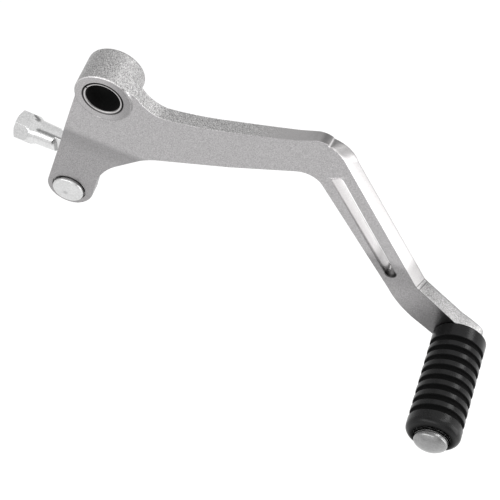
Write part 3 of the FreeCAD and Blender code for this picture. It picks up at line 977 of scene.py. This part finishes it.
# %% Helper for turned pieces
def lathe(name, section, axis, steps, sweep=360.0, start=0.0):
    """A closed section of (radius, depth) points in millimetres, spun about an axis along Y."""
    out = Vector((math.cos(math.radians(start)), 0.0, math.sin(math.radians(start))))
    bpy.ops.object.select_all(action="DESELECT")
    first = Vector(axis) + out * section[0][0] * MM + Vector((0.0, section[0][1] * MM, 0.0))
    bpy.ops.mesh.primitive_plane_add(size=MM, location=first)
    piece = bpy.context.object
    piece.name = name
    piece.data.name = name
    bpy.ops.object.transform_apply(location=True, rotation=True, scale=True)
    bpy.ops.object.mode_set(mode="EDIT")
    bpy.ops.mesh.select_all(action="SELECT")
    bpy.ops.mesh.merge(type="CENTER")
    here = section[0]
    for point in section[1:]:
        move = out * (point[0] - here[0]) * MM + Vector((0.0, (point[1] - here[1]) * MM, 0.0))
        bpy.ops.mesh.extrude_region_move(TRANSFORM_OT_translate={"value": move})
        here = point
    bpy.ops.mesh.select_all(action="SELECT")
    bpy.ops.mesh.edge_face_add()
    if sweep == 360.0:
        bpy.ops.mesh.delete(type="ONLY_FACE")
    bpy.ops.mesh.select_all(action="SELECT")
    bpy.ops.mesh.spin(steps=steps, angle=math.radians(sweep), center=axis, axis=(0.0, -1.0, 0.0))
    bpy.ops.mesh.select_all(action="SELECT")
    bpy.ops.mesh.remove_doubles(threshold=SAME_POINT)
    bpy.ops.mesh.normals_make_consistent(inside=False)
    bpy.ops.mesh.select_all(action="DESELECT")
    bpy.ops.object.mode_set(mode="OBJECT")
    return piece


# %% [markdown]
# ## The arm
#
# The arm is one forging, with the hub, the ear and the slot already cut in its construction. It could be
# modelled again from a plane, but its shape is exact as it is. Only its edges need work: the machined rims
# are broken by a fifth of a millimetre, which draws the thin bright lines along the front of the first
# stretch and round the elbow. A limit of 40 degrees keeps the bevel off the gentle folds of the joggle.

# %% Soften the arm
arm = softened("lever_arm", "arm_forging", 0.2 * MM, angle=40.0)
dress(arm, "arm", "lever", "lever_arm")

# %% [markdown]
# ## The bush
#
# A wrapped bush is a strip of steel rolled into a sleeve, so it has a fine seam, and its inside carries a
# dark sliding layer. Both show: a bright ring with a small gap at the upper left, and a black bore. A seam
# could be cut out of a whole ring, but it is simpler to stop the turning short of the full turn. The shell
# and the lining are two turned pieces, so each has its own finish.

# %% Turn the bush
BUSH_SEAM_ANGLE = 140.0
BUSH_SEAM = 4.0
BUSH_STEPS = 96
bush_turn = 360.0 - BUSH_SEAM, BUSH_SEAM_ANGLE + BUSH_SEAM / 2

section = [(6.16, 0.35), (6.46, 0.05), (7.0, 0.05), (7.0, 14.15), (6.46, 14.15), (6.16, 13.85)]
bush_shell = lathe("bush_shell", section, BORE, BUSH_STEPS, *bush_turn)
dress(bevelled(bush_shell, 0.06 * MM), "bush", "lever", "pivot_bush")

# %% Turn its lining
section = [(6.0, 0.5), (6.15, 0.35), (6.15, 13.85), (6.0, 13.7)]
bush_lining = lathe("bush_lining", section, BORE, BUSH_STEPS, *bush_turn)
dress(bevelled(bush_lining, 0.04 * MM, 1), "liner", "lever", "pivot_bush")

# %% [markdown]
# ## The rubber sleeve
#
# The sleeve is moulded with eight grooves and a round front end. The grooves could be cut into a tube one
# by one. Instead, one groove is written as four points, repeated down the section, and the whole section is
# turned about the peg. The rib edges are only just rounded, so each rib reads as a flat band with dark
# gaps.

# %% Turn the sleeve
SLEEVE_BORE = 5.0
SLEEVE_BACK = 1.3
GROOVES = 8
RIB_PITCH = 4.33
FIRST_GROOVE = 5.35
GROOVE_FLOOR = 8.87
GROOVE_SHAPE = [(RIB_RADIUS, 0.0), (GROOVE_FLOOR, 0.2), (GROOVE_FLOOR, 2.2), (RIB_RADIUS, 2.4)]
FRONT_ROUND_CENTRE = 7.3, -39.5
FRONT_ROUND_REACH = 2.7, 2.6

section = [(SLEEVE_BORE, SLEEVE_BACK), (9.52, SLEEVE_BACK), (9.87, 1.15), (RIB_RADIUS, 0.8)]
for groove in range(GROOVES):
    top = SLEEVE_BACK - FIRST_GROOVE - groove * RIB_PITCH
    section += [(radius, top - drop) for radius, drop in GROOVE_SHAPE]
for step in range(7):
    lean = math.radians(15.0 * step)
    section.append((
        FRONT_ROUND_CENTRE[0] + FRONT_ROUND_REACH[0] * math.cos(lean),
        FRONT_ROUND_CENTRE[1] - FRONT_ROUND_REACH[1] * math.sin(lean),
    ))
section += [(6.5, -41.4), (6.2, -41.1), (SLEEVE_BORE, -41.1)]
print("section of the sleeve:", len(section), "points")
peg_sleeve = lathe("peg_sleeve", section, PEG, 128)
dress(bevelled(peg_sleeve, 0.14 * MM), "rubber", "lever", "peg_rubber")

# %% [markdown]
# ## The peg
#
# The peg's head is a shallow dome, turned and lightly polished. It is formed like a rivet, so its back is
# drawn in towards the shank and its widest line lies a little in front of the rubber. It could be turned
# again from a profile, but the construction's dome is right. So the head is cut with a new ring at its
# widest line, the ring behind is drawn in, and that line and the rim of the dome are rounded with a small
# bevel each.

# %% Shape the peg's head
HEAD_BACK = -41.4
HEAD_WIDEST = -42.7
HEAD_RIM = -44.4
HEAD_OUTSIDE = 5.9
BACK_DRAWN_IN = 0.84

peg = merged("peg_pin", "peg_with_dome")
alone(peg)
bpy.ops.object.mode_set(mode="EDIT")
bpy.ops.mesh.select_all(action="SELECT")
bpy.ops.mesh.bisect(plane_co=(PEG[0], HEAD_WIDEST * MM, PEG[2]), plane_no=(0.0, 1.0, 0.0))
bpy.ops.mesh.select_all(action="DESELECT")


def ring_at(depth):
    """A test for the points of the head's outer ring at a depth in millimetres."""
    def test(place):
        out = math.hypot(place.x - PEG[0], place.z - PEG[2])
        return abs(place.y - depth * MM) < 0.05 * MM and out > HEAD_OUTSIDE * MM
    return test


print("back ring:", pick(peg, ring_at(HEAD_BACK)), "points")
bpy.ops.transform.resize(
    value=(BACK_DRAWN_IN, 1.0, BACK_DRAWN_IN), center_override=(PEG[0], HEAD_BACK * MM, PEG[2])
)
for depth in (HEAD_WIDEST, HEAD_RIM):
    print("ring at", depth, "mm:", pick(peg, ring_at(depth)), "points")
    bpy.ops.mesh.bevel(offset=0.4 * MM, segments=3, affect="EDGES")
bpy.ops.object.mode_set(mode="OBJECT")
dress(smoothed(peg), "peg", "lever", "peg_pin")

# %% [markdown]
# ## The ball joint
#
# The stud is riveted through the ear, its ball sits in a plastic seat in the eye, and a pressed disc closes
# the eye's back. They could be turned again from profiles, but then the fit of ball, seat and eye would have
# to be kept twice. So the plated pieces are copies of the construction with their edges softened, the thin
# disc by less than the rest. The seat is hidden and keeps its own mesh.

# %% Soften the plated pieces
stud = softened("ball_stud", "stud_with_head", 0.15 * MM)
dress(stud, "stud", "lever", "ball_stud")
housing = softened("rod_end_body", "rod_end_housing", 0.15 * MM)
dress(housing, "rod_end", "rod_end", "rod_end_body")
cap = softened("socket_cap", "socket_disc", 0.08 * MM)
dress(cap, "cap", "rod_end", "socket_cap")
nodes["ball_seat"].data.materials.clear()
nodes["ball_seat"].data.materials.append(finishes["seat"])
print("the seat keeps its construction mesh")

# %% [markdown]
# ## The dust boot
#
# A rubber boot keeps grit out of the ball. One end grips the stud's collar with a waisted sleeve, and the
# other is a dome that rests on the front of the eye. A curve modifier could bend it, but its bend is small
# and known. So it is turned straight, and its eye end is leaned with the rod end, a little at a time, so
# the wall bends evenly.

# %% Turn the boot
BALL_DEPTH = 21.85


def dome_points(radius, angles):
    """Points of the dome at angles from the stud's axis, on a circle about the ball's centre."""
    leans = [math.radians(angle) for angle in angles]
    return [(radius * math.sin(lean), BALL_DEPTH - radius * math.cos(lean)) for lean in leans]


section = [(5.57, 9.2), (6.65, 9.2), (6.65, 10.3), (6.35, 10.6), (6.35, 11.6), (6.65, 11.9), (6.65, 13.9)]
section += dome_points(10.0, (44.0, 50.0, 56.0, 62.0, 69.0))
section += dome_points(8.9, (66.3, 60.0, 53.0, 46.0, 38.7))
joint_boot = lathe("joint_boot", section, STUD, 72)


# %% Lean its eye end
BALL = Vector((-0.0196, 0.02185, -0.0586))
LEAN = 10.0
LEAN_DEPTHS = 12.5, 14.5, 15.5, 16.5, 17.5

alone(joint_boot)
for depth in LEAN_DEPTHS:
    picked = pick(joint_boot, lambda place: place.y > depth * MM)
    bpy.ops.transform.rotate(
        value=math.radians(LEAN / len(LEAN_DEPTHS)), orient_axis="Z", center_override=BALL
    )
    print("ring from", depth, "mm:", picked, "points")
bpy.ops.mesh.select_all(action="DESELECT")
bpy.ops.object.mode_set(mode="OBJECT")
bevelled(joint_boot, 0.2 * MM, 2, 30.0)
joint_boot.data.materials.clear()
joint_boot.data.materials.append(finishes["boot"])
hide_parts("dust_boot")
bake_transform(joint_boot)
